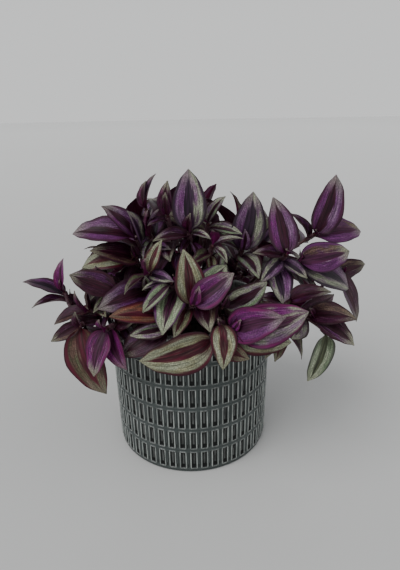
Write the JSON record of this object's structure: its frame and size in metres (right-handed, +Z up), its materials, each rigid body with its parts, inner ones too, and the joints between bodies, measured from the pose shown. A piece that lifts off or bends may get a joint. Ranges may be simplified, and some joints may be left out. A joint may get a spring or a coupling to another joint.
{
  "type": "potted tradescantia",
  "caption": "Bushy inch plant with striped purple and silver leaves on trailing stems, rooted in soil in a round glazed pot with a raised net of narrow cells.",
  "frame": {"origin": "centre of the pot's flat foot", "axes": "+Z up along the pot's axis, -Y towards the plant's best side"},
  "size_m": [0.2703, 0.2034, 0.2301],
  "materials": {
    "glazed_stoneware": "grey-green glaze that breaks pale on the raised edges and pools dark in the panels",
    "potting_soil": "dark crumbly potting soil, matt",
    "foliage": "succulent striped leaf, satin above, magenta beneath"
  },
  "bodies": {
    "root": {"pot": "glazed_stoneware", "soil": "potting_soil", "back_low_1": "foliage", "back_low_2": "foliage", "back_low_3": "foliage", "back_low_4": "foliage", "back_low_5": "foliage", "back_low_6": "foliage", "back_mid_1": "foliage", "back_mid_2": "foliage", "back_mid_3": "foliage", "back_mid_4": "foliage", "back_mid_5": "foliage", "back_mid_6": "foliage", "back_top_1": "foliage", "back_top_2": "foliage", "back_top_3": "foliage", "back_top_4": "foliage", "crown": "foliage", "crown_left": "foliage", "crown_right": "foliage", "crown_spear": "foliage", "crown_young": "foliage", "front_flag": "foliage", "front_left": "foliage", "front_russet": "foliage", "front_skirt": "foliage", "heart": "foliage", "heart_left": "foliage", "inner_1": "foliage", "inner_2": "foliage", "inner_4": "foliage", "inner_5": "foliage", "inner_6": "foliage", "inner_7": "foliage", "left_bank": "foliage", "left_corner": "foliage", "left_eye": "foliage", "left_fringe": "foliage", "left_ledge": "foliage", "left_shelf": "foliage", "left_skirt": "foliage", "left_trail": "foliage", "left_wing": "foliage", "middle": "foliage", "right_arm": "foliage", "right_behind": "foliage", "right_fan": "foliage", "right_heart": "foliage", "right_hook": "foliage", "right_mast": "foliage", "right_shade": "foliage", "right_skirt": "foliage", "right_spire": "foliage", "right_star": "foliage", "right_tail": "foliage"}
  },
  "joints": []
}
